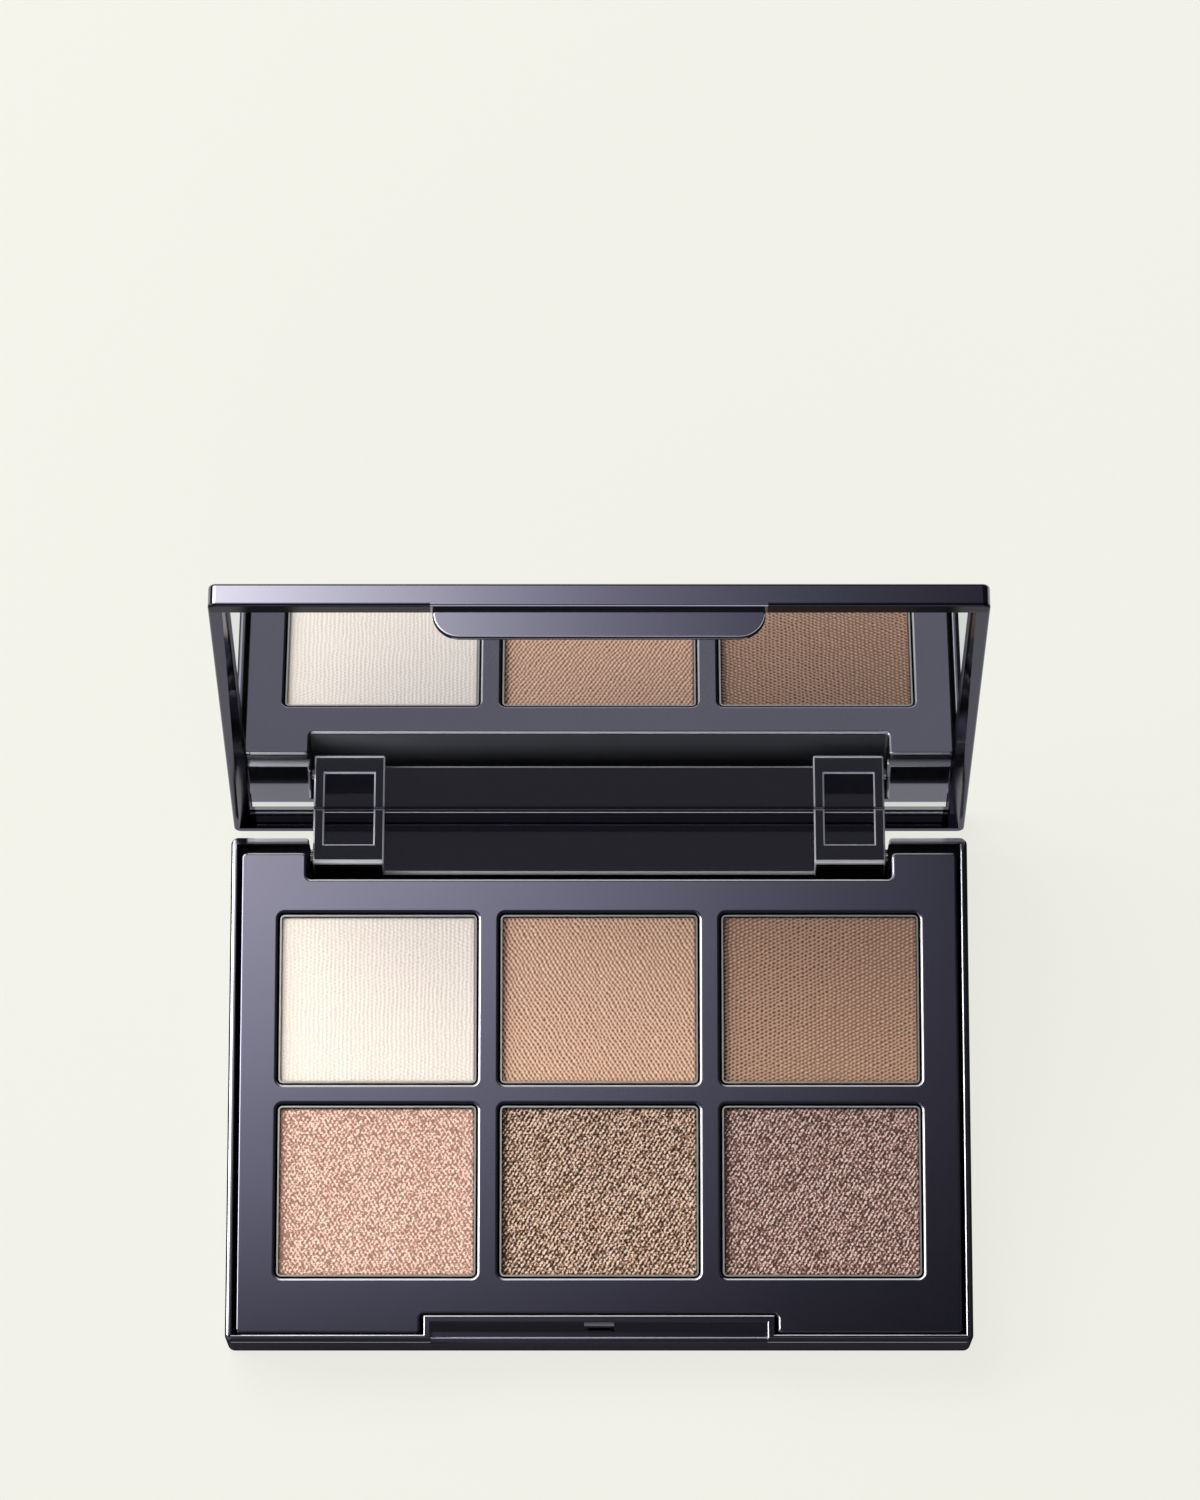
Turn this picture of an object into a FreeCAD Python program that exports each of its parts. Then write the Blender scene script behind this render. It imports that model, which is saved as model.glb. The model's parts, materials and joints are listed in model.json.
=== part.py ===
import FreeCAD
import Part
import math
import os

from FreeCAD import Vector

# An eyeshadow palette with a mirror in its lid, lying open.
# Millimetres, +Z up, +Y to the hinge, origin at the middle of the base's underside.

# Case outside
case_width = 100.0
case_depth = 69.0
base_height = 8.8
lid_thickness = 3.3
corner_radius = 1.0
parting_gap = 0.2
open_angle = 102.0

# Base shell
base_wall = 0.95
base_floor = 1.0
rim_inner_round = 0.2
rim_outer_round = 0.7
notch_corner_round = 0.6
floor_round = 0.4

# Hinge
hinge_inset = 2.0
hinge_drop = 4.8
pin_diameter = 1.5
pin_running_clearance = 0.03
pin_end_recess = 0.3
pin_grip = 7.0
bore_end_room = 0.4
hinge_corner_width = 10.6
tongue_side_clearance = 0.4
tongue_below_axis = 1.8
tongue_wall = 1.1
tongue_round = 0.5
knuckle_width = 9.7
knuckle_reach = 2.6
knuckle_round = 0.65
knuckle_side_wall = 1.5
pocket_above_axis = 1.1
pocket_round = 0.3
notch_depth = 5.77
boss_reach = 2.2
boss_headroom = 0.15

# Deck insert
deck_drop = 0.3
deck_thickness = 1.2
deck_side_gap = 0.5
deck_front_gap = 0.2
deck_rear_gap = 1.15
deck_notch_gap = 0.35
deck_corner_radius = 0.6
deck_round = 0.35
skirt_wall = 0.9
boss_clearance = 0.3

# Wells, pans and powder cakes
columns = ("left", "middle", "right")
rows = ("rear", "front")
well_side_margin = 6.5
well_rear_margin = 10.4
well_front_margin = 8.6
well_bar_across = 2.7
well_bar_along = 2.55
well_radius = 0.9
well_wall = 0.8
well_floor = 0.8
pan_clearance = 0.28
pan_height = 3.6
pan_drop = 0.4
pan_sheet = 0.22
glue_thickness = 0.2
glue_margin = 3.0
powder_drop = 0.4
powder_round = 0.12

# Finger notch and catch at the front
finger_notch_width = 45.0
finger_notch_depth = 2.6
finger_notch_floor = 1.0
finger_lip_drop = 2.0
finger_lip_round = 0.25
catch_width = 4.0
catch_taper = 0.5
catch_height = 1.7
catch_drop = 1.4
catch_reach = 0.3

# Lid
lid_edge_round = 0.5
lid_rim_round = 0.3
lid_front_rim = 2.0
lid_side_rim_front = 1.8
lid_side_rim_rear = 0.75
lid_floor_inset = 2.3
tab_width = 42.6
tab_length = 4.0
tab_thickness = 0.9
tab_corner_radius = 3.5
tab_edge_round = 0.3
tab_end_room = 0.55

# Mirror
mirror_drop = 1.4
mirror_thickness = 0.9
mirror_side_inset = 2.7
mirror_clearance = 0.12
mirror_rear_inset = 5.2
tape_thickness = 0.15
tape_margin = 2.0
bar_width = 1.4
bar_inset = 2.4
bar_height = 0.25
bar_round = 0.12

# Places worked out from the sizes above
half_width = case_width / 2
rear_y = case_depth / 2
front_y = -rear_y
axis_y = rear_y - hinge_inset
axis_z = base_height - hinge_drop
lid_rim_z = base_height + parting_gap
lid_top_z = lid_rim_z + lid_thickness
mirror_face_z = lid_rim_z + mirror_drop
mirror_back_z = mirror_face_z + mirror_thickness
notch_half = half_width - hinge_corner_width
tongue_half = notch_half - tongue_side_clearance
tongue_bottom_z = axis_z - tongue_below_axis
knuckle_inner = tongue_half - knuckle_width
notch_y = rear_y - notch_depth
deck_z = base_height - deck_drop
deck_under_z = deck_z - deck_thickness
deck_half = half_width - base_wall - deck_side_gap
deck_front_y = front_y + base_wall + deck_front_gap
deck_rear_y = rear_y - base_wall - deck_rear_gap
well_field_width = case_width - 2 * well_side_margin
well_field_depth = case_depth - well_rear_margin - well_front_margin
well_width = (well_field_width - (len(columns) - 1) * well_bar_across) / len(columns)
well_depth = (well_field_depth - (len(rows) - 1) * well_bar_along) / len(rows)
pan_rim_z = deck_z - pan_drop
pan_under_z = pan_rim_z - pan_height
well_floor_z = pan_under_z - glue_thickness
finger_half = finger_notch_width / 2
finger_y = front_y + finger_notch_depth
tab_tip_z = lid_rim_z - tab_length
slot_floor_z = tab_tip_z - tab_end_room
tab_rear_y = front_y + lid_front_rim
pin_length = hinge_corner_width - pin_end_recess + tongue_side_clearance + pin_grip
sides = (("left", -1), ("right", 1))
near = 1e-4


def block(x0, x1, y0, y1, z0, z1):
    """A box between two corners, given in any order along X."""
    low, high = min(x0, x1), max(x0, x1)
    return Part.makeBox(high - low, y1 - y0, z1 - z0, Vector(low, y0, z0))


def runs_along_x(edge):
    """Whether an edge's two ends differ only in X."""
    step = edge.Vertexes[-1].Point - edge.Vertexes[0].Point
    return abs(step.x) > near and abs(step.y) + abs(step.z) < near


def round_edges(shape, radius, test, only_x=False):
    """Fillet the edges whose end points all pass the test, or only those of them along X."""
    edges = [edge for edge in shape.Edges if all(test(v.Point) for v in edge.Vertexes)]
    if only_x:
        edges = [edge for edge in edges if runs_along_x(edge)]
    return shape.makeFillet(radius, edges)


def upright_edges(shape, radius):
    """Fillet the edges of a prism that run straight up."""
    edges = []
    for edge in shape.Edges:
        ends = [v.Point for v in edge.Vertexes]
        if len(ends) == 2 and math.hypot(ends[0].x - ends[1].x, ends[0].y - ends[1].y) < near:
            edges.append(edge)
    return shape.makeFillet(radius, edges)


def rounded_block(x, y, width, depth, z0, z1, radius):
    """A box centred on x, y with round upright edges."""
    body = block(x - width / 2, x + width / 2, y - depth / 2, y + depth / 2, z0, z1)
    return upright_edges(body, radius)


def at_height(z):
    """A test for points that lie at one height."""
    return lambda point: abs(point.z - z) < near


def pin_bore(side, diameter, inner_x, outer_x):
    """A cylinder on the hinge axis between two distances from the middle."""
    start = Vector(side * inner_x, axis_y, axis_z)
    return Part.makeCylinder(diameter / 2, outer_x - inner_x, start, Vector(side, 0, 0))


def save(name, shape):
    """Write one piece, or one group of loose pieces, as its own file."""
    shape.exportStep(os.path.join("parts", name + ".step"))


def opened(shape):
    """Swing a piece of the shut lid back to its open stop."""
    swung = shape.copy()
    swung.rotate(Vector(0, axis_y, axis_z), Vector(1, 0, 0), -open_angle)
    return swung


# Base shell
def base_outline():
    """The outer block, with the finger notch open above its lip and the rear rim swept clear of the lid."""
    body = block(-half_width, half_width, front_y, rear_y, 0, base_height)
    body = upright_edges(body, corner_radius)
    lip_z = base_height - finger_lip_drop
    body = body.cut(block(-finger_half, finger_half, front_y, finger_y, lip_z, base_height))
    behind_axis = block(-half_width, half_width, axis_y, rear_y, axis_z, base_height)
    sweep = Part.makeCylinder(hinge_drop, case_width, Vector(-half_width, axis_y, axis_z), Vector(1, 0, 0))
    return body.cut(behind_axis.cut(sweep))


def rim_envelope():
    """The outer block with the large round along the top of its walls."""
    body = block(-half_width, half_width, front_y, rear_y, -base_floor, base_height)
    return round_edges(upright_edges(body, corner_radius), rim_outer_round, at_height(base_height))


def base_cavity():
    """The room inside the walls, less the bucket behind the finger notch and the two hinge bosses."""
    inner_half = half_width - base_wall
    room = block(-inner_half, inner_half, front_y + base_wall, rear_y - base_wall, base_floor, base_height)
    bucket_half = finger_half + base_wall
    bucket_under = slot_floor_z - finger_notch_floor
    bucket = block(-bucket_half, bucket_half, front_y, finger_y + base_wall, bucket_under, base_height)
    room = room.cut(bucket)
    boss_top = deck_under_z - boss_headroom
    for _, side in sides:
        boss = block(side * notch_half, side * half_width, axis_y - boss_reach, rear_y, base_floor, boss_top)
        room = room.cut(boss)
    return room


def notch_corner(side):
    """What is trimmed off the rear wall's end to round it where it meets the hinge notch."""
    middle_x = side * (notch_half + notch_corner_round)
    middle_y = rear_y - notch_corner_round
    corner = block(side * notch_half, middle_x, middle_y, rear_y, base_floor, base_height)
    post = Part.makeCylinder(notch_corner_round, base_height, Vector(middle_x, middle_y, 0))
    return corner.cut(post)


def catch_nub():
    """A small wedge on the notch's back wall that the lid's tab clicks past."""
    top_z = base_height - catch_drop
    corners = [
        Vector(-catch_width / 2, finger_y, top_z),
        Vector(catch_width / 2, finger_y, top_z),
        Vector(catch_width / 2 - catch_taper, finger_y, top_z - catch_height),
        Vector(-catch_width / 2 + catch_taper, finger_y, top_z - catch_height),
    ]
    face = Part.Face(Part.makePolygon(corners + corners[:1]))
    return face.extrude(Vector(0, -catch_reach, 0))


def make_base_shell():
    """The tray that holds everything, with the rear notch for the lid's tongue."""
    body = base_outline()
    body = body.cut(base_cavity())
    body = body.cut(block(-notch_half, notch_half, notch_y, rear_y, base_floor, base_height))
    slot = block(-finger_half, finger_half, front_y + base_wall, finger_y, slot_floor_z, base_height)
    body = body.cut(slot)
    lip_z = base_height - finger_lip_drop
    body = round_edges(body, finger_lip_round, at_height(lip_z), only_x=True)
    body = round_edges(body, floor_round, at_height(0))
    for _, side in sides:
        body = body.cut(notch_corner(side))
    body = round_edges(body, rim_inner_round, at_height(base_height)).common(rim_envelope())
    for _, side in sides:
        body = body.cut(pin_bore(side, pin_diameter, notch_half - near, half_width + near))
    return body.fuse(catch_nub()).removeSplitter()


# Hinge pins
def make_hinge_pin(side):
    """A plain steel pin, pressed into the base's boss from the side."""
    outer_x = half_width - pin_end_recess
    return pin_bore(side, pin_diameter, outer_x - pin_length, outer_x)


# Deck insert
def insert_block(inset, z0, z1):
    """The deck's outline with both notches, drawn in all round, between two heights."""
    body = block(-deck_half + inset, deck_half - inset, deck_front_y + inset, deck_rear_y - inset, z0, z1)
    rear_half = notch_half + deck_notch_gap + inset
    body = body.cut(block(-rear_half, rear_half, notch_y - inset, rear_y, z0, z1))
    front_half = finger_half + base_wall + deck_side_gap + inset
    front_edge = finger_y + base_wall + deck_front_gap + inset
    return body.cut(block(-front_half, front_half, front_y, front_edge, z0, z1))


def well_places():
    """The name and the middle of each of the wells, row by row from the hinge."""
    places = []
    for r, row in enumerate(rows):
        y = rear_y - well_rear_margin - well_depth / 2 - r * (well_depth + well_bar_along)
        for c, column in enumerate(columns):
            x = -half_width + well_side_margin + well_width / 2 + c * (well_width + well_bar_across)
            places.append((row + "_" + column, x, y))
    return places


def make_deck_insert():
    """The deck plate with a skirt that stands on the floor and a cup under every opening."""
    body = upright_edges(insert_block(0, base_floor, deck_z), deck_corner_radius)
    body = body.cut(insert_block(skirt_wall, base_floor, deck_under_z))
    boss_y = axis_y - boss_reach - boss_clearance
    for _, side in sides:
        body = body.cut(block(side * (notch_half - base_wall), side * half_width, boss_y, rear_y, 0, deck_under_z))
    cups = []
    holes = []
    for _, x, y in well_places():
        cup_width = well_width + 2 * well_wall
        cup_depth = well_depth + 2 * well_wall
        cup_radius = well_radius + well_wall
        cups.append(rounded_block(x, y, cup_width, cup_depth, well_floor_z - well_floor, deck_under_z, cup_radius))
        holes.append(rounded_block(x, y, well_width, well_depth, well_floor_z, deck_z, well_radius))
    body = body.fuse(cups).removeSplitter().cut(holes)
    return round_edges(body, deck_round, at_height(deck_z))


# Pans and powder
def make_pan(x, y):
    """A shallow pressed tin pan."""
    width = well_width - 2 * pan_clearance
    depth = well_depth - 2 * pan_clearance
    radius = well_radius - pan_clearance
    outer = rounded_block(x, y, width, depth, pan_under_z, pan_rim_z, radius)
    inner = rounded_block(x, y, width - 2 * pan_sheet, depth - 2 * pan_sheet,
                          pan_under_z + pan_sheet, pan_rim_z, radius - pan_sheet)
    return outer.cut(inner)


def make_powder(x, y):
    """The pressed cake that fills a pan nearly to its rim."""
    inset = 2 * (pan_clearance + pan_sheet)
    radius = well_radius - pan_clearance - pan_sheet
    top_z = pan_rim_z - powder_drop
    cake = rounded_block(x, y, well_width - inset, well_depth - inset, pan_under_z + pan_sheet, top_z, radius)
    return round_edges(cake, powder_round, at_height(top_z))


def make_glue_pads():
    """A thin pad of glue under each pan."""
    pads = []
    for _, x, y in well_places():
        width = well_width - 2 * glue_margin
        depth = well_depth - 2 * glue_margin
        pads.append(rounded_block(x, y, width, depth, well_floor_z, pan_under_z, well_radius))
    return Part.makeCompound(pads)


# Lid
def lid_recess():
    """The hollow inside the lid's rim, whose side walls lean out further towards the hinge."""
    inner_front = front_y + lid_front_rim
    inner_rear = rear_y - tongue_wall
    front_half = half_width - lid_side_rim_front
    rear_half = half_width - lid_side_rim_rear
    floor_half = half_width - lid_floor_inset

    def ring(half_front, half_rear, z):
        corners = [
            Vector(-half_front, inner_front, z),
            Vector(half_front, inner_front, z),
            Vector(half_rear, inner_rear, z),
            Vector(-half_rear, inner_rear, z),
        ]
        return Part.makePolygon(corners + corners[:1])

    rim = ring(front_half, rear_half, lid_rim_z)
    floor = ring(floor_half, floor_half, mirror_face_z)
    return Part.makeLoft([rim, floor], True, True)


def mirror_pocket():
    """The seat for the mirror and its tape in the lid's floor."""
    half = half_width - mirror_side_inset + mirror_clearance
    rear = rear_y - mirror_rear_inset + mirror_clearance
    return block(-half, half, front_y + lid_front_rim, rear, mirror_face_z, mirror_back_z + tape_thickness)


def knuckle(side):
    """One hinge knuckle: a block round the pin with a pocket in its front face."""
    outer = side * tongue_half
    inner = side * knuckle_inner
    front = axis_y - knuckle_reach
    body = block(outer, inner, front, rear_y, tongue_bottom_z, mirror_face_z)
    body = round_edges(body, knuckle_round, lambda p: abs(p.z - tongue_bottom_z) + abs(p.y - front) < near)
    body = round_edges(body, tongue_round, lambda p: abs(p.z - tongue_bottom_z) + abs(p.y - rear_y) < near)
    pocket_z = axis_z + pocket_above_axis
    pocket_outer = outer - side * knuckle_side_wall
    pocket_inner = inner + side * knuckle_side_wall
    body = body.cut(block(pocket_outer, pocket_inner, front, rear_y - tongue_wall, pocket_z, mirror_face_z))
    body = round_edges(body, pocket_round, lambda p: abs(p.y - front) < near)
    tip_x = half_width - pin_end_recess - pin_length
    bore = pin_bore(side, pin_diameter + 2 * pin_running_clearance, tip_x - bore_end_room, tongue_half)
    return body.cut(bore)


def tongue_panel():
    """The thin wall between the knuckles."""
    front = rear_y - tongue_wall
    body = block(-knuckle_inner, knuckle_inner, front, rear_y, tongue_bottom_z, mirror_face_z)
    return round_edges(body, tongue_round, at_height(tongue_bottom_z), only_x=True)


def front_tab():
    """The tongue at the lid's free edge that drops into the finger notch."""
    half = tab_width / 2
    root_z = lid_rim_z + mirror_drop
    body = block(-half, half, tab_rear_y - tab_thickness, tab_rear_y, tab_tip_z, root_z)

    def tip_corner(point):
        return abs(point.z - tab_tip_z) < near and abs(abs(point.x) - half) < near

    corners = [e for e in body.Edges if all(tip_corner(v.Point) for v in e.Vertexes) and e.Length < half]
    body = body.makeFillet(tab_corner_radius, corners)
    edges = [e for e in body.Edges if min(v.Point.z for v in e.Vertexes) < root_z - near
             and abs(e.Vertexes[0].Point.y - e.Vertexes[-1].Point.y) < near]
    return body.makeFillet(tab_edge_round, edges)


def make_lid_shell():
    """The cover with its hinge tongue and front tab, still shut."""
    body = block(-half_width, half_width, front_y, rear_y, lid_rim_z, lid_top_z)
    body = upright_edges(body, corner_radius)
    body = round_edges(body, lid_edge_round, at_height(lid_top_z))
    body = round_edges(body, lid_rim_round, at_height(lid_rim_z))
    body = body.cut(lid_recess()).cut(mirror_pocket())
    bar_half = half_width - lid_floor_inset
    bar_rear = rear_y - bar_inset
    bar_z = mirror_face_z - bar_height
    bar = block(-bar_half, bar_half, bar_rear - bar_width, bar_rear, bar_z, mirror_face_z)
    bar = round_edges(bar, bar_round, at_height(bar_z), only_x=True)
    pieces = [bar, tongue_panel(), front_tab()] + [knuckle(side) for _, side in sides]
    return body.fuse(pieces).removeSplitter()


def make_mirror_glass():
    """The flat mirror."""
    half = half_width - mirror_side_inset
    front = front_y + lid_front_rim + mirror_clearance
    return block(-half, half, front, rear_y - mirror_rear_inset, mirror_face_z, mirror_back_z)


def make_mirror_tape():
    """The sheet of double-sided tape behind the mirror."""
    half = half_width - mirror_side_inset - tape_margin
    front = front_y + lid_front_rim + mirror_clearance + tape_margin
    rear = rear_y - mirror_rear_inset - tape_margin
    return block(-half, half, front, rear, mirror_back_z, mirror_back_z + tape_thickness)


def main():
    os.makedirs("parts", exist_ok=True)
    save("base_shell", make_base_shell())
    save("deck_insert", make_deck_insert())
    save("glue_pads", make_glue_pads())
    for place, x, y in well_places():
        save("pan_" + place, make_pan(x, y))
        save("powder_" + place, make_powder(x, y))
    for name, side in sides:
        save("hinge_pin_" + name, make_hinge_pin(side))
    save("lid_shell", opened(make_lid_shell()))
    save("mirror_glass", opened(make_mirror_glass()))
    save("mirror_tape", opened(make_mirror_tape()))


main()
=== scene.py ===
import json
import math

import bpy
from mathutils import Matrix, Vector


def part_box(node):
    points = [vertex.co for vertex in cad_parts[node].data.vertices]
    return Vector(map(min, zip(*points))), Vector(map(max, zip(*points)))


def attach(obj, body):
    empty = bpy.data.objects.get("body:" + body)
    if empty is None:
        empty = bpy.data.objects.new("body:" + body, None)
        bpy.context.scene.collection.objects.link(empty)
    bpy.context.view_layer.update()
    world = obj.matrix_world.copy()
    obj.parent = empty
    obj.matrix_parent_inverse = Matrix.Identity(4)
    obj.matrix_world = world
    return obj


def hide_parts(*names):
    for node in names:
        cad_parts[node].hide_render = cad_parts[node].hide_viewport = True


bl_info = {
    "name": "Eyeshadow palette",
    "version": (1, 0, 0),
    "blender": (4, 5, 0),
    "location": "View3D > Sidebar > Palette",
    "description": "Dresses a packed eyeshadow palette with plastics, pans, powders and a mirror",
    "category": "Object",
}

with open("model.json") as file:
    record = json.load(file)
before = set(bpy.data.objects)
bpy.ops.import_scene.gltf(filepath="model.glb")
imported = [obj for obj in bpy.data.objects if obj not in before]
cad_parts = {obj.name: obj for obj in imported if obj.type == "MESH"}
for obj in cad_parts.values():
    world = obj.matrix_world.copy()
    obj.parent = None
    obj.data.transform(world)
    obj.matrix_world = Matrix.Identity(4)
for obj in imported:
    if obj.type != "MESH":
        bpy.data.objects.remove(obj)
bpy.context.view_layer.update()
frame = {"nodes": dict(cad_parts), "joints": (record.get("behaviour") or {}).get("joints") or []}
MM = 0.001
MATTE_CAKES = ("rear_left", "rear_middle", "rear_right")
SHIMMER_CAKES = ("front_left", "front_middle", "front_right")

# Places where the finishes, painted shade and painted highlights change, with the lid shut,
# from the middle of the base's underside
BASE_LOW, BASE_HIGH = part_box("base_shell")
NOTCH_HALF_WIDTH = 23.5 * MM
NOTCH_REAR = -31.1 * MM
CATCH_HALF_WIDTH = 2.05 * MM
CATCH_TOP = 7.4 * MM
PAN_RIM = 7.97 * MM
TAB_HALF_WIDTH = 21.55 * MM
TAB_TOP = 8.35 * MM
TONGUE_HALF_WIDTH = 39.15 * MM
TONGUE_FRONT = 27.9 * MM
LID_RIM_LOW = 8.85 * MM
LID_RIM_HIGH = 9.4 * MM
RECESS_HALF_WIDTH = 47.0 * MM
RECESS_TOP = 10.55 * MM
LID_TOP_EDGE = 11.3 * MM

# Lengths over which one finish turns into the next
FINE_BLUR = 0.1 * MM
BLUR = 0.2 * MM


# Shader and geometry expressions
class Value:
    """A number on a node's socket, so that sums on it become Math nodes."""

    def __init__(self, graph, socket):
        self.graph = graph
        self.socket = socket

    def join(self, operation, *others):
        node = self.graph.add("ShaderNodeMath", {"operation": operation}, self, *others)
        return node.out(0)

    def __add__(self, other):
        return self.join("ADD", other)

    def __sub__(self, other):
        return self.join("SUBTRACT", other)

    def __mul__(self, other):
        return self.join("MULTIPLY", other)

    def __truediv__(self, other):
        return self.join("DIVIDE", other)

    def __rsub__(self, other):
        return self.graph.number(other).join("SUBTRACT", self)

    def __rtruediv__(self, other):
        return self.graph.number(other).join("DIVIDE", self)

    __radd__ = __add__
    __rmul__ = __mul__

    def __abs__(self):
        return self.join("ABSOLUTE")

    def __pow__(self, other):
        return self.join("POWER", other)

    def sine(self):
        return self.join("SINE")

    def least(self, other):
        return self.join("MINIMUM", other)

    def most(self, other):
        return self.join("MAXIMUM", other)

    def above(self, other):
        return self.join("GREATER_THAN", other)

    def spread(self, low, high, to_low=0.0, to_high=1.0):
        """Map low..high onto to_low..to_high, held at the ends."""
        node = self.graph.add("ShaderNodeMapRange", {"clamp": True}, self, low, high, to_low, to_high)
        return node.out(0)

    def past(self, limit, blur):
        """One above the limit and nothing below it, blurred over a short way."""
        return self.spread(limit - blur / 2, limit + blur / 2)

    def under(self, limit, blur):
        """One below the limit and nothing above it, blurred over a short way."""
        return self.spread(limit + blur / 2, limit - blur / 2)


class Made:
    """A node that was added to a graph."""

    def __init__(self, graph, node):
        self.graph = graph
        self.node = node

    def out(self, key):
        return Value(self.graph, self.node.outputs[key])


class Graph:
    """A node tree that nodes are added to, each with its settings and then its inputs."""

    def __init__(self, tree):
        self.tree = tree

    def add(self, kind, settings=None, *inputs, **named):
        node = self.tree.nodes.new(kind)
        for key, setting in (settings or {}).items():
            if key == "stops":
                self.set_stops(node.color_ramp, setting)
            else:
                setattr(node, key, setting)
        wanted = dict(enumerate(inputs))
        wanted.update({key.replace("_", " "): given for key, given in named.items()})
        for place, given in wanted.items():
            self.feed(node.inputs[place], given)
        return Made(self, node)

    def set_stops(self, ramp, stops):
        while len(ramp.elements) < len(stops):
            ramp.elements.new(0.5)
        for element, (place, colour) in zip(ramp.elements, stops):
            element.position = place
            element.color = (*colour, 1.0)

    def feed(self, socket, given):
        if isinstance(given, Value):
            self.tree.links.new(given.socket, socket)
        elif isinstance(given, Made):
            self.tree.links.new(given.node.outputs[0], socket)
        else:
            socket.default_value = given

    def number(self, amount):
        node = self.add("ShaderNodeMath", {"operation": "ADD"}, float(amount), 0.0)
        return node.out(0)

    def split(self, vector):
        """The three parts of a vector."""
        parts = self.add("ShaderNodeSeparateXYZ", {}, vector)
        return parts.out(0), parts.out(1), parts.out(2)


class Finish(Graph):
    """A material with one Principled shader."""

    def __init__(self, name, **constants):
        self.material = bpy.data.materials.new(name)
        self.material.use_nodes = True
        super().__init__(self.material.node_tree)
        self.shader = self.tree.nodes["Principled BSDF"]
        for key, setting in constants.items():
            self.shader.inputs[key.replace("_", " ")].default_value = setting

    def surface(self, name, given):
        self.feed(self.shader.inputs[name], given)

    def place(self):
        """Where the surface lies."""
        return self.add("ShaderNodeTexCoord").out("Object")

    def lean(self):
        """The way that the surface faces."""
        return self.add("ShaderNodeTexCoord").out("Normal")

    def relief(self):
        """The height that a powder cake keeps with its points, less a painted shadow along its left edge,
        which the powder finishes turn into painted light and shade.
        """
        return self.add("ShaderNodeAttribute", {"attribute_name": "relief"}).out("Fac")

    def noise(self, scale, detail=2.0, roughness=0.5):
        return self.add("ShaderNodeTexNoise", {}, Vector=self.place(), Scale=scale, Detail=detail,
                        Roughness=roughness).out(0)

    def cells(self, scale):
        return self.add("ShaderNodeTexVoronoi", {"feature": "F1"}, Vector=self.place(), Scale=scale)

    def ramp(self, amount, stops):
        return self.add("ShaderNodeValToRGB", {"stops": stops}, amount).out(0)

    def blend(self, share, first, second):
        """A colour between two colours."""
        mixed = self.add("ShaderNodeMix", {"data_type": "RGBA"}, share)
        self.feed(mixed.node.inputs[6], first)
        self.feed(mixed.node.inputs[7], second)
        return mixed.out(2)

    def bump(self, height, distance, strength):
        made = self.add("ShaderNodeBump", {}, Strength=strength, Distance=distance, Height=height)
        self.surface("Normal", made)


def tint(colour, factor):
    """A colour made lighter or darker by a factor."""
    return tuple(min(1.0, max(0.0, c * factor)) for c in colour[:3])


# Settings that a user would change
def colour_setting(name, description, default):
    return bpy.props.FloatVectorProperty(
        name=name, description=description, subtype="COLOR", size=3, min=0.0, max=1.0, default=default)


def length_setting(name, description, default):
    return bpy.props.FloatProperty(
        name=name, description=description, unit="LENGTH", precision=6, default=default)


def share_setting(name, description, default):
    return bpy.props.FloatProperty(name=name, description=description, min=0.0, max=1.0, default=default)


class PaletteCaseSettings(bpy.types.PropertyGroup):
    plastic: colour_setting("Case plastic", "Colour of the moulded shells", (0.168, 0.162, 0.218))
    deck: colour_setting("Deck plastic", "Colour of the deck round the pans", (0.168, 0.162, 0.218))
    case_gloss: share_setting("Case roughness", "Roughness of the shells", 0.10)
    deck_gloss: share_setting("Deck roughness", "Roughness of the deck", 0.14)


class PalettePowderSettings(bpy.types.PropertyGroup):
    relief: length_setting("Cloth relief", "Height of the pressed cloth marks", 0.09 * MM)
    grain: length_setting("Flake size", "Size of the shimmer flakes", 0.31 * MM)
    grain_relief: length_setting("Flake relief", "Height of the rough shimmer surface", 0.05 * MM)
    ivory: colour_setting("Ivory", "Rear left powder", (0.945, 0.835, 0.77))
    tan: colour_setting("Tan", "Rear middle powder", (0.73, 0.41, 0.295))
    brown: colour_setting("Brown", "Rear right powder", (0.415, 0.25, 0.175))
    rose: colour_setting("Rose", "Front left powder", (0.721, 0.447, 0.376))
    bronze: colour_setting("Bronze", "Front middle powder", (0.412, 0.252, 0.178))
    mauve: colour_setting("Mauve", "Front right powder", (0.322, 0.181, 0.164))


class PaletteStageSettings(bpy.types.PropertyGroup):
    floor: colour_setting("Floor", "Colour of the floor", (0.87, 0.87, 0.806))
    floor_size: length_setting("Floor size", "Side of the floor", 6.0)
    floor_evenness: share_setting("Floor evenness", "Share of the floor that shows its plain colour", 0.9)
    lens: bpy.props.FloatProperty(name="Lens", description="Focal length in millimetres", default=156.4)
    camera_place: bpy.props.FloatVectorProperty(
        name="Camera", description="Where the camera stands", subtype="TRANSLATION",
        size=3, default=(0.00012, -0.1598, 0.8727))
    camera_tilt: bpy.props.FloatProperty(
        name="Tilt", description="Camera's lean from straight down", subtype="ANGLE",
        default=math.radians(13.44))
    softbox: bpy.props.FloatProperty(
        name="Softbox", description="Brightness of the overhead light", min=0.0, default=6.4)
    softbox_height: length_setting("Softbox height", "Height of the overhead light", 0.9)
    fade_width: length_setting("Fade", "How gently the overhead light fades sideways", 0.052)
    card_power: bpy.props.FloatProperty(
        name="Left card", description="Power of the light on the left", unit="POWER", default=13.0)
    front_power: bpy.props.FloatProperty(
        name="Front card", description="Power of the narrow light in front", unit="POWER", default=0.9)
    fill: share_setting("Fill", "Strength of the light from the front", 0.55)


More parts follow.
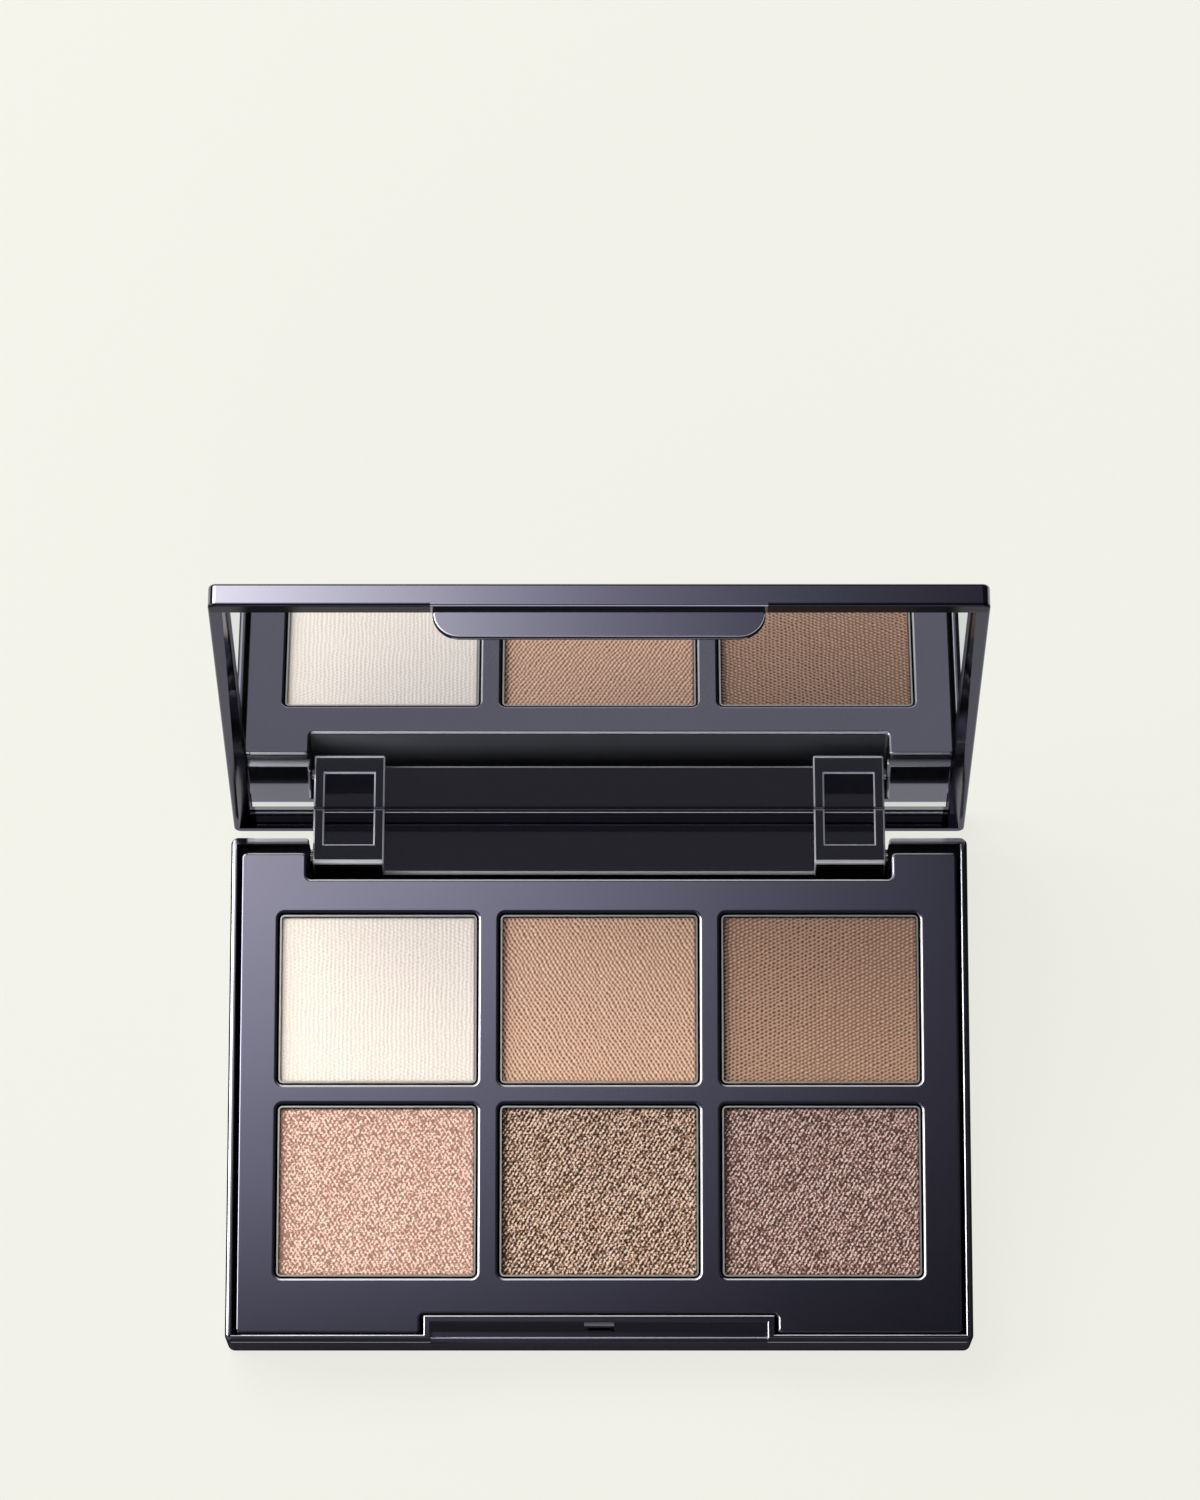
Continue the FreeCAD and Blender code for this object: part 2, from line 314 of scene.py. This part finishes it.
# Finishes
def case_finish(name, colour, roughness, parts, dull_shine, highlight_whiteness):
    """Dark mirror gloss lacquer with painted highlights and painted shade on its rounded edges,
    and plain moulding painted darker where parts says so.

    The plain moulding keeps a share of the lacquer's shine, dull_shine, and the last argument sets
    how pale the painted highlights are and how far they turn from metal to flat colour.
    """
    finish = Finish(name, IOR=1.15, Specular_IOR_Level=0.0, Coat_Roughness=0.03)
    flow = finish.noise(45.0)
    fine = finish.noise(3000.0)
    skin = finish.ramp(flow, [(0.3, tint(colour, 0.96)), (0.7, tint(colour, 1.04))])
    gloss = fine.spread(0.3, 0.7, roughness - 0.01, roughness + 0.01)
    # parts gives the zone painted darker as painted shade (with a painted reflection on the base's
    # rear-facing walls), its colour, and the painted highlights and painted shade on the edges
    shade_zone, shade_and_reflection_colour, painted_highlight, painted_shade = parts(finish)
    bright = 1.0 - shade_zone
    # Painted highlight: pale colour on rounded edges that face the light; painted shade: near black on those
    # that face away
    skin = finish.blend(painted_highlight, skin, (*tint((0.62, 0.62, 0.66), 0.6 + highlight_whiteness * 0.8), 1.0))
    skin = finish.blend(painted_shade, skin, (0.02, 0.02, 0.028, 1.0))
    finish.surface("Base Color", finish.blend(shade_zone, skin, shade_and_reflection_colour))
    finish.surface("Roughness", gloss + (0.45 - gloss) * shade_zone * (1.0 - dull_shine))
    metal = flow.spread(0.3, 0.7, 0.97, 1.0) * (bright + shade_zone * dull_shine)
    finish.surface("Metallic", metal * (1.0 - painted_shade) * (1.0 - painted_highlight * highlight_whiteness))
    finish.surface("Coat Weight", flow.spread(0.3, 0.7, 0.96, 1.0) * bright * (1.0 - painted_shade))
    return finish.material


def rounded_edge(x, y, z):
    """One where a surface leans between the main directions, as on a rounded edge."""
    return abs(x).most(abs(y)).most(abs(z)).spread(0.99, 0.95)


def below_the_rim(finish):
    """The base and the deck: plain moulding painted in shade inside and under their top edges, darker on the
    front wall, with a painted reflection on rear-facing walls, and painted highlights and painted shade on
    their rounded edges.
    """
    x, y, z = finish.split(finish.place())
    lean_x, lean_y, lean_z = finish.split(finish.lean())
    edge = rounded_edge(lean_x, lean_y, lean_z)
    to_light = lean_y - lean_x
    front_wall = y.under(BASE_LOW.y + 0.15 * MM, FINE_BLUR)
    # Painted reflection: rear-facing walls inside turn from near black to grey upwards
    painted_rear_reflection = lean_y.spread(0.5, 0.8) * z.spread(2.0 * MM, 6.0 * MM)
    notch = abs(x).under(NOTCH_HALF_WIDTH, BLUR) * y.under(NOTCH_REAR, BLUR) * (1.0 - front_wall)
    catch = abs(x).under(CATCH_HALF_WIDTH, FINE_BLUR) * notch
    catch = catch * abs(z - CATCH_TOP).spread(0.08 * MM, 0.05 * MM)
    outer = abs(x).past(BASE_HIGH.x - 0.4 * MM, BLUR).most(y.past(BASE_HIGH.y - 0.4 * MM, BLUR))
    left_rim = x.under(BASE_LOW.x + 0.75 * MM, BLUR)
    inner = x.past(BASE_LOW.x + 2.2 * MM, 2.0 * BLUR)

    # Painted shade: plain moulding under the top edges, except in the finger notch and on the outer side and
    # rear walls, is near black inside and dark on the front wall
    shade_zone = z.under(BASE_HIGH.z - 0.7 * MM, FINE_BLUR) * (1.0 - notch) * (1.0 - outer)
    colour = finish.blend(painted_rear_reflection, (0.010, 0.010, 0.013, 1.0), (0.15, 0.15, 0.165, 1.0))
    colour = finish.blend(front_wall, colour, (0.030, 0.029, 0.038, 1.0))
    # Painted highlight on rounded edges facing the rear and the left, on the left rim's top and on the
    # catch's top edge; painted shade on rounded edges facing the front and the right and on the left rim's
    # outer rounding
    painted_highlight = edge * to_light.spread(0.1, 0.3) * (inner + left_rim * lean_z.spread(0.76, 0.84, 0.0, 0.6))
    painted_highlight = painted_highlight.most(catch * lean_z.spread(0.8, 0.9))
    painted_shade = edge * to_light.spread(-0.1, -0.3).most(left_rim * lean_z.spread(0.76, 0.68))
    return shade_zone, colour, painted_highlight, painted_shade


def lid_rim(finish):
    """The lid: painted shade on the rim that meets the base and on the side walls of the mirror's recess,
    darkest on the front rim, with painted highlights on the rounded edges inside it and painted shade on the
    tab's outer rounding.
    """
    hinge = next(joint for joint in frame["joints"] if joint["name"] == "lid_hinge")
    swing = math.radians(hinge["range_deg"][1])
    turn = {"rotation_type": "X_AXIS"}
    shut_place = finish.add("ShaderNodeVectorRotate", turn, Vector=finish.place(),
                            Center=tuple(hinge["pos_m"]), Angle=swing)
    shut_lean = finish.add("ShaderNodeVectorRotate", turn, Vector=finish.lean(), Angle=swing)
    x, y, z = finish.split(shut_place)
    lean_x, lean_y, lean_z = finish.split(shut_lean)
    x = abs(x)
    tab = x.under(TAB_HALF_WIDTH, FINE_BLUR) * y.under(NOTCH_REAR, BLUR)
    tongue = x.under(TONGUE_HALF_WIDTH, FINE_BLUR) * y.past(TONGUE_FRONT, BLUR)
    rim = z.under(LID_RIM_HIGH, BLUR) * z.past(LID_RIM_LOW, FINE_BLUR) * (1.0 - tab) * (1.0 - tongue)
    wall = x.past(RECESS_HALF_WIDTH, BLUR) * x.under(BASE_HIGH.x - 0.15 * MM, FINE_BLUR)
    wall = wall * z.under(RECESS_TOP, FINE_BLUR) * abs(y).under(BASE_HIGH.y - 0.7 * MM, BLUR)
    front = y.under(BASE_LOW.y + 1.9 * MM, 2.0 * BLUR)
    inside = z.under(LID_TOP_EDGE, BLUR) * x.under(BASE_HIGH.x - 1.55 * MM, 1.5 * BLUR)
    inside = inside * (1.0 - tab * z.past(TAB_TOP, 1.5 * BLUR))

    # Painted shade: the rim and the recess walls take a darker colour, darkest on the front rim
    shade_zone = rim.most(wall)
    colour = finish.blend(front, (0.050, 0.048, 0.084, 1.0), (0.018, 0.017, 0.026, 1.0))
    # Painted highlight on the rounded edges inside the lid, weaker along the tab's straight edges; painted
    # shade on the tab's rounding away from its face
    edge = rounded_edge(lean_x, lean_y, lean_z) * (1.0 - shade_zone) * inside
    straight = tab * abs(lean_x).spread(0.25, 0.05)
    painted_highlight = edge * (1.0 - straight * 0.4)
    painted_shade = edge * tab * lean_y.spread(-0.92, -0.85)
    return shade_zone, colour, painted_highlight, painted_shade


def pan_finish():
    """Pressed sheet, bright on the rim, with painted shade making its sides near black."""
    finish = Finish("pan_tin")
    drawn = finish.noise(700.0)
    rim = finish.split(finish.place())[2].past(PAN_RIM, FINE_BLUR)
    skin = finish.ramp(drawn, [(0.3, (0.44, 0.43, 0.43)), (0.7, (0.50, 0.49, 0.49))])
    # Painted shade: near black below the rim, where the pan stands in its well
    finish.surface("Base Color", finish.blend(rim, (0.05, 0.05, 0.05, 1.0), skin))
    finish.surface("Metallic", drawn.spread(0.0, 1.0, 0.88, 0.92))
    finish.surface("Roughness", drawn.spread(0.3, 0.7, 0.30, 0.36))
    return finish.material


def pin_finish():
    """Drawn steel wire."""
    finish = Finish("pin_steel")
    drawn = finish.noise(2500.0, detail=3.0)
    finish.surface("Base Color", finish.ramp(drawn, [(0.3, (0.50, 0.50, 0.50)), (0.7, (0.66, 0.66, 0.65))]))
    finish.surface("Metallic", drawn.spread(0.0, 1.0, 0.97, 1.0))
    finish.surface("Roughness", drawn.spread(0.3, 0.7, 0.18, 0.32))
    return finish.material


def mirror_finish():
    """Silvered glass with the least unevenness."""
    finish = Finish("mirror", IOR=1.5)
    haze = finish.noise(40.0)
    finish.surface("Base Color", finish.ramp(haze, [(0.3, (0.80, 0.82, 0.85)), (0.7, (0.82, 0.84, 0.87))]))
    finish.surface("Metallic", haze.spread(0.0, 1.0, 0.99, 1.0))
    finish.surface("Roughness", haze.spread(0.3, 0.7, 0.008, 0.016))
    return finish.material


def hidden_finish(name, colour, roughness):
    """Glue and tape: plain, slightly mottled."""
    finish = Finish(name)
    mottle = finish.noise(400.0, detail=3.0)
    finish.surface("Base Color", finish.ramp(mottle, [(0.3, tint(colour, 0.9)), (0.7, tint(colour, 1.08))]))
    finish.surface("Roughness", mottle.spread(0.3, 0.7, roughness - 0.05, roughness + 0.05))
    return finish.material


def matte_finish(name, colour, depth):
    """Pressed matte powder: painted light on the cloth marks' tops, painted shade between them and a painted
    shadow along the left edge, with loose fine grain.
    """
    finish = Finish(name, IOR=1.35)
    height = finish.relief()
    grain = finish.noise(5000.0, detail=3.0, roughness=0.6)
    # Colour by height: painted light on the marks' tops, painted shade between them and at the left edge,
    # with random grain
    grain_and_painted_light = height * 0.9 + grain * 0.2 - 0.05
    stops = [(0.1, tint(colour, 1.0 - depth * 0.9)), (0.5, colour), (0.9, tint(colour, 1.0 + depth * 0.9))]
    finish.surface("Base Color", finish.ramp(grain_and_painted_light, stops))
    finish.surface("Roughness", grain.spread(0.2, 0.8, 0.78, 0.95))
    finish.bump(grain, 0.02 * MM, 0.35)
    return finish.material


def shimmer_finish(name, colour, flake, contrast):
    """Pressed shimmer powder: a matte body set with bright flakes that face every way, each flake's middle
    painted paler as a glint, with a painted shadow along the left edge.
    """
    finish = Finish(name, IOR=1.3)
    flakes = finish.cells(2.0 / flake)
    parts = finish.add("ShaderNodeSeparateColor", {}, flakes.out("Color"))
    bright, lean, kind = parts.out(0), parts.out(1), parts.out(2)
    grain = finish.noise(5200.0, detail=3.0, roughness=0.65)
    height = finish.relief()
    # Random flake colour and grain, plus painted glints at the flakes' middles and the painted shadow at the
    # left edge, from the stored height
    tone_glint_and_shadow = bright * 0.5 + grain * 0.4 + height * 2.5 - 1.0
    pale = [c * 0.55 + k for c, k in zip(colour, (0.45, 0.42, 0.39))]
    warm = [c * k for c, k in zip(colour, (1.06, 0.96, 0.9))]
    stops = [
        (0.12, tint(warm, 1.0 - contrast)),
        (0.5, tint(warm, 1.0 - contrast * 0.4)),
        (0.72, tint(colour, 1.0 + contrast * 0.6)),
        (0.95, tint(pale, 1.0 + contrast * 0.3)),
    ]
    finish.surface("Base Color", finish.ramp(tone_glint_and_shadow, stops))
    finish.surface("Metallic", kind.spread(0.5, 0.9, 0.0, 0.5))
    finish.surface("Roughness", lean.spread(0.0, 1.0, 0.35, 0.7))
    finish.bump(grain + bright * 0.8, 0.07 * MM, 0.6)
    return finish.material


# Powder cakes
WAVES = ("Wave A", "Wave B", "Wave C")
CAKE_INPUTS = {
    "NodeSocketFloat": ("Width", "Depth", "Height", "Relief", "Shimmer", "Flakes", "Edge"),
    "NodeSocketVector": ("Middle",) + WAVES,
    "NodeSocketMaterial": ("Finish",),
}
# Points across and along a cake's top, the width of its rounded edge, and how far the cloth's threads stray
CAKE_POINTS = (236, 204)
CAKE_EDGE = 0.35 * MM
CLOTH_SWAY = 0.45 * MM
# Marks per metre across and along, and weight, of the crossing threads in each cloth
TWILL = ((1657, 1053, 1.0), (1657, -1053, 0.45), (0, 2157, 0.14))
PLAIN = ((920, -1892, 1.0), (1797, 0, 0.67), (920, 1870, 0.59))
COLUMNS = ((1797, 0, 1.0), (920, 1892, 0.72), (876, -1944, 0.7))
CROSSED = ((1613, 1038, 1.0), (1657, -1038, 0.69), (0, 2157, 0.1))
BACK_TWILL = ((1657, -1038, 1.0), (1657, 1038, 0.37), (0, 2157, 0.1))


def cake_tree():
    """A block of pressed powder whose top carries cloth marks, or the rough skin of a shimmer powder."""
    tree = bpy.data.node_groups.new("pressed_cake", "GeometryNodeTree")
    tree.interface.new_socket("Geometry", in_out="OUTPUT", socket_type="NodeSocketGeometry")
    for kind, names in CAKE_INPUTS.items():
        for name in names:
            tree.interface.new_socket(name, in_out="INPUT", socket_type=kind)
    graph = Graph(tree)
    given = graph.add("NodeGroupInput")
    width, depth, height = given.out("Width"), given.out("Depth"), given.out("Height")
    relief, shimmer, edge = given.out("Relief"), given.out("Shimmer"), given.out("Edge")
    size = graph.add("ShaderNodeCombineXYZ", {}, width, depth, height)
    block = graph.add("GeometryNodeMeshCube", {}, size, CAKE_POINTS[0], CAKE_POINTS[1], 2)
    place = graph.add("GeometryNodeInputPosition")
    x, y, z = graph.split(place)
    top = z.above(0.0)

    wander = graph.add("ShaderNodeTexNoise", {}, Vector=place, Scale=220.0, Detail=1.0).out(0)
    ripple = graph.add("ShaderNodeTexNoise", {}, Vector=place, Scale=1000.0, Detail=1.0).out(1)
    ripple_x, ripple_y, _ = graph.split(ripple)
    drift = (wander - 0.5) * CLOTH_SWAY
    drift_x = drift + (ripple_x - 0.5) * CLOTH_SWAY
    drift_y = drift + (ripple_y - 0.5) * CLOTH_SWAY
    threads, total = [], []
    for name in WAVES:
        across, along, weight = graph.split(given.out(name))
        turn = ((x + drift_x) * across + (y + drift_y) * along) * (2 * math.pi)
        threads.append(turn.sine() * weight)
        total.append(weight)
    weave = (threads[0] + threads[1] + threads[2]) / (total[0] + total[1] + total[2])
    cloth = weave * 0.5 + 0.5

    fine = graph.add("ShaderNodeTexNoise", {}, Vector=place, Scale=3900.0, Detail=2.0).out(0)
    flakes = graph.add("ShaderNodeTexVoronoi", {"feature": "F1"}, Vector=place, Scale=given.out("Flakes"),
                       Randomness=0.75).out(0)
    skin = (1.0 - flakes * 1.25).most(0.0) * 0.85 + fine * 0.15
    pattern = cloth * (1.0 - shimmer) + skin * shimmer

    from_side = width / 2.0 - abs(x)
    from_end = depth / 2.0 - abs(y)
    inside = from_side.least(from_end).most(0.0) / edge
    inner = inside.least(1.0)
    shoulder = (1.0 - inner) ** 2.0 * edge * 0.5
    lift = top * ((pattern - 1.0) * relief * inner - shoulder)

    offset = graph.add("ShaderNodeCombineXYZ", {}, 0.0, 0.0, lift)
    pressed = graph.add("GeometryNodeSetPosition", {}, block, Offset=offset)
    # The stored height is coloured by the finishes as painted light and shade; near the left edge it is
    # lowered as a painted shadow
    left = (x + width / 2.0).spread(0.2 * MM, 1.4 * MM, 1.0, 0.0)
    marked = graph.add("GeometryNodeStoreNamedAttribute", {"data_type": "FLOAT", "domain": "POINT"}, pressed,
                       Name="relief", Value=pattern - left * left * 0.22)
    moved = graph.add("GeometryNodeTransform", {}, marked, Translation=given.out("Middle"))
    smooth = graph.add("GeometryNodeSetShadeSmooth", {}, moved)
    real = graph.add("GeometryNodeRealizeInstances", {}, smooth)
    dressed = graph.add("GeometryNodeSetMaterial", {}, real, Material=given.out("Finish"))
    graph.add("NodeGroupOutput", {}, dressed)
    return tree


def plain_mesh_piece(name, tree, settings):
    """Run a geometry tree with these inputs and keep its result as a plain mesh."""
    holder = bpy.data.objects.new(name + "_maker", bpy.data.meshes.new(name + "_maker"))
    bpy.context.scene.collection.objects.link(holder)
    modifier = holder.modifiers.new("tree", "NODES")
    modifier.node_group = tree
    sockets = {item.name: item.identifier for item in tree.interface.items_tree if item.in_out == "INPUT"}
    for key, setting in settings.items():
        modifier[sockets[key]] = setting
    bpy.context.view_layer.update()
    found = holder.evaluated_get(bpy.context.evaluated_depsgraph_get())
    mesh = bpy.data.meshes.new_from_object(found)
    if not mesh.polygons:
        raise RuntimeError(name + " came out empty")
    holder.modifiers.clear()
    bpy.data.objects.remove(holder)
    mesh.name = name
    piece = bpy.data.objects.new(name, mesh)
    bpy.context.scene.collection.objects.link(piece)
    return piece


def make_cake(place, tree, finish, cloth, relief, flake, shimmer):
    """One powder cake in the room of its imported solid."""
    node = "powder_" + place
    low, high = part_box(node)
    size = high - low
    piece = plain_mesh_piece("cake_" + place, tree, {
        "Width": size.x, "Depth": size.y, "Height": size.z, "Middle": tuple((low + high) / 2),
        "Relief": relief, "Shimmer": shimmer, "Flakes": 1.0 / flake, "Edge": CAKE_EDGE,
        "Finish": finish, **dict(zip(WAVES, cloth)),
    })
    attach(piece, "base")
    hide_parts(node)


def dress(node, material):
    """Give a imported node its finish."""
    mesh = frame["nodes"][node].data
    mesh.materials.clear()
    mesh.materials.append(material)


# Stage
def flat_sheet(name, corners, material):
    """A four cornered sheet of the stage."""
    mesh = bpy.data.meshes.new(name)
    mesh.from_pydata(corners, [], [(0, 1, 2, 3)])
    mesh.materials.append(material)
    sheet = bpy.data.objects.new(name, mesh)
    bpy.context.scene.collection.objects.link(sheet)
    return sheet


def make_floor(settings):
    """A pale floor that looks even to the camera and keeps a soft shadow of the object."""
    half = settings.floor_size / 2
    colour = tuple(settings.floor)
    finish = Finish("floor", Roughness=0.9, IOR=1.2)
    cloud = finish.noise(2.0)
    stops = [(0.3, tint(colour, 0.995)), (0.7, tint(colour, 1.005))]
    finish.surface("Base Color", finish.ramp(cloud, stops))
    paths = finish.add("ShaderNodeLightPath")
    seen = paths.out("Is Camera Ray").most(paths.out("Is Glossy Ray")).most(paths.out("Is Transmission Ray"))
    glow = finish.add("ShaderNodeEmission", {}, (*colour, 1.0), 1.0)
    share = seen * settings.floor_evenness
    lit = Value(finish, finish.shader.outputs[0])
    mixed = finish.add("ShaderNodeMixShader", {}, share, lit, glow)
    finish.feed(finish.tree.nodes["Material Output"].inputs["Surface"], mixed)
    corners = [(-half, -half, 0), (half, -half, 0), (half, half, 0), (-half, half, 0)]
    flat_sheet("floor", corners, finish.material)


def make_softbox(settings):
    """A wide light overhead, brightest to the rear left and fading to the right and front."""
    finish = Finish("softbox")
    x, y, _ = finish.split(finish.place())
    # The line where the light has fallen to half leans to the left towards the rear
    half_line = y.spread(0.224, 0.68, -0.022, -0.125)
    across = 1.0 / (((x - half_line) / settings.fade_width).join("EXPONENT") + 1.0)
    along = y.spread(0.08, 0.58, 0.004, 1.0) + y.spread(0.52, 0.68, 0.0, 0.36)
    level = across * along
    # Faint light is bluer and full light is warmer
    warm = level * level.spread(0.0, 0.25, 0.9, 1.0)
    cool = level * level.spread(0.0, 0.25, 1.12, 1.0) * level.spread(0.3, 1.0, 1.0, 0.86)
    colour = finish.add("ShaderNodeCombineXYZ", {}, warm, warm, cool)
    glow = finish.add("ShaderNodeEmission", {}, colour, settings.softbox)
    finish.feed(finish.tree.nodes["Material Output"].inputs["Surface"], glow)
    left, right, front, rear, high = -1.0, 0.3, 0.0, 1.2, settings.softbox_height
    corners = [(left, front, high), (left, rear, high), (right, rear, high), (right, front, high)]
    sheet = flat_sheet("softbox", corners, finish.material)
    sheet.visible_camera = False


def light_card(name, power, size, place):
    """A flat soft light that faces the object."""
    lamp = bpy.data.lights.new(name, "AREA")
    lamp.shape = "RECTANGLE"
    lamp.size, lamp.size_y = size
    lamp.energy = power
    card = bpy.data.objects.new(name, lamp)
    card.location = place
    card.rotation_mode = "QUATERNION"
    card.rotation_quaternion = (-Vector(place)).to_track_quat("-Z", "Y")
    bpy.context.scene.collection.objects.link(card)


def make_world(strength):
    """Soft light from the front half of the room, with little from overhead and behind."""
    world = bpy.data.worlds.new("fill")
    world.use_nodes = True
    graph = Graph(world.node_tree)
    way = graph.add("ShaderNodeTexCoord").out("Generated")
    ahead = graph.split(way)[1]
    level = ahead.spread(-0.55, -0.33, strength, 0.10) * ahead.spread(-0.2, 0.05, 1.0, 0.15)
    back = world.node_tree.nodes["Background"]
    graph.feed(back.inputs["Color"], graph.add("ShaderNodeCombineXYZ", {}, level, level, level))
    back.inputs["Strength"].default_value = 1.0
    bpy.context.scene.world = world


def make_camera(settings):
    """A long lens that looks down on the deck from slightly in front."""
    lens = bpy.data.cameras.new("camera")
    lens.lens = settings.lens
    camera = bpy.data.objects.new("camera", lens)
    camera.location = settings.camera_place
    camera.rotation_euler = (settings.camera_tilt, 0.0, 0.0)
    bpy.context.scene.collection.objects.link(camera)
    bpy.context.scene.camera = camera


# Operators
class PALETTE_OT_case(bpy.types.Operator):
    """Finish the base shell, the deck and the lid"""

    bl_idname = "palette.case"
    bl_label = "Case plastics"

    def execute(self, context):
        settings = context.scene.palette_case
        shell = settings.plastic, settings.case_gloss
        deck = settings.deck, settings.deck_gloss
        # Base and deck lose their shine in the zone of painted shade; the lid's painted-dark rim keeps its
        # gloss. The second number sets how pale the painted edge highlights are.
        matt = {"dull_shine": 0.0, "highlight_whiteness": 0.5}
        glossy_dark_rim = {"dull_shine": 1.0, "highlight_whiteness": 0.9}
        dress("base_shell", case_finish("base_plastic", *shell, below_the_rim, **matt))
        dress("lid_shell", case_finish("lid_plastic", *shell, lid_rim, **glossy_dark_rim))
        dress("deck_insert", case_finish("deck_plastic", *deck, below_the_rim, **matt))
        return {"FINISHED"}


class PALETTE_OT_metal(bpy.types.Operator):
    """Finish the pans and the hinge pins"""

    bl_idname = "palette.metal"
    bl_label = "Pans and pins"

    def execute(self, context):
        tin = pan_finish()
        for place in MATTE_CAKES + SHIMMER_CAKES:
            dress("pan_" + place, tin)
        steel = pin_finish()
        for side in ("left", "right"):
            dress("hinge_pin_" + side, steel)
        return {"FINISHED"}


class PALETTE_OT_mirror(bpy.types.Operator):
    """Finish the mirror, its tape and the glue under the pans"""

    bl_idname = "palette.mirror"
    bl_label = "Mirror, tape and glue"

    def execute(self, context):
        dress("mirror_glass", mirror_finish())
        dress("mirror_tape", hidden_finish("tape", (0.80, 0.79, 0.74), 0.6))
        dress("glue_pads", hidden_finish("glue", (0.75, 0.72, 0.62), 0.45))
        return {"FINISHED"}


class PALETTE_OT_powders(bpy.types.Operator):
    """Press the six powder cakes"""

    bl_idname = "palette.powders"
    bl_label = "Powder cakes"

    def execute(self, context):
        settings = context.scene.palette_powders
        tree = cake_tree()
        # The last number sets how strongly the cloth marks are painted light and dark
        matte = (
            (settings.ivory, COLUMNS, 0.12),
            (settings.tan, TWILL, 1.0),
            (settings.brown, PLAIN, 1.0),
        )
        for place, (colour, cloth, depth) in zip(MATTE_CAKES, matte):
            finish = matte_finish("powder_" + place, tuple(colour), depth)
            make_cake(place, tree, finish, cloth, settings.relief, settings.grain, shimmer=0.0)
        # The last number sets how widely the colour spreads, painted glints included
        shimmer = (
            (settings.rose, CROSSED, 0.6),
            (settings.bronze, BACK_TWILL, 0.95),
            (settings.mauve, BACK_TWILL, 0.85),
        )
        for place, (colour, cloth, contrast) in zip(SHIMMER_CAKES, shimmer):
            finish = shimmer_finish("powder_" + place, tuple(colour), settings.grain, contrast)
            make_cake(place, tree, finish, cloth, settings.grain_relief, settings.grain, shimmer=0.6)
        return {"FINISHED"}


class PALETTE_OT_stage(bpy.types.Operator):
    """Set the floor, the lights and the camera"""

    bl_idname = "palette.stage"
    bl_label = "Stage"

    def execute(self, context):
        settings = context.scene.palette_stage
        make_floor(settings)
        make_softbox(settings)
        light_card("left_card", settings.card_power, size=(0.6, 0.7), place=(-1.05, 0.25, 0.5))
        light_card("front_card", settings.front_power, size=(0.26, 0.75), place=(0.0, -0.95, 0.5))
        make_world(settings.fill)
        make_camera(settings)
        context.scene.view_settings.view_transform = "Standard"
        return {"FINISHED"}


class PALETTE_PT_panel(bpy.types.Panel):
    """The palette's operators in the sidebar"""

    bl_idname = "PALETTE_PT_panel"
    bl_label = "Eyeshadow palette"
    bl_space_type = "VIEW_3D"
    bl_region_type = "UI"
    bl_category = "Palette"

    def draw(self, context):
        for operator in OPERATORS:
            self.layout.operator(operator.bl_idname)


OPERATORS = (PALETTE_OT_case, PALETTE_OT_metal, PALETTE_OT_mirror, PALETTE_OT_powders, PALETTE_OT_stage)
GROUPS = (
    ("palette_case", PaletteCaseSettings),
    ("palette_powders", PalettePowderSettings),
    ("palette_stage", PaletteStageSettings),
)
CLASSES = tuple(group for _, group in GROUPS) + OPERATORS + (PALETTE_PT_panel,)


def register():
    for item in CLASSES:
        bpy.utils.register_class(item)
    for name, group in GROUPS:
        setattr(bpy.types.Scene, name, bpy.props.PointerProperty(type=group))


def unregister():
    for name, _ in GROUPS:
        delattr(bpy.types.Scene, name)
    for item in reversed(CLASSES):
        bpy.utils.unregister_class(item)


def main():
    register()
    bpy.ops.palette.case()
    bpy.ops.palette.metal()
    bpy.ops.palette.mirror()
    bpy.ops.palette.powders()
    bpy.ops.palette.stage()


if __name__ == "__main__":
    main()
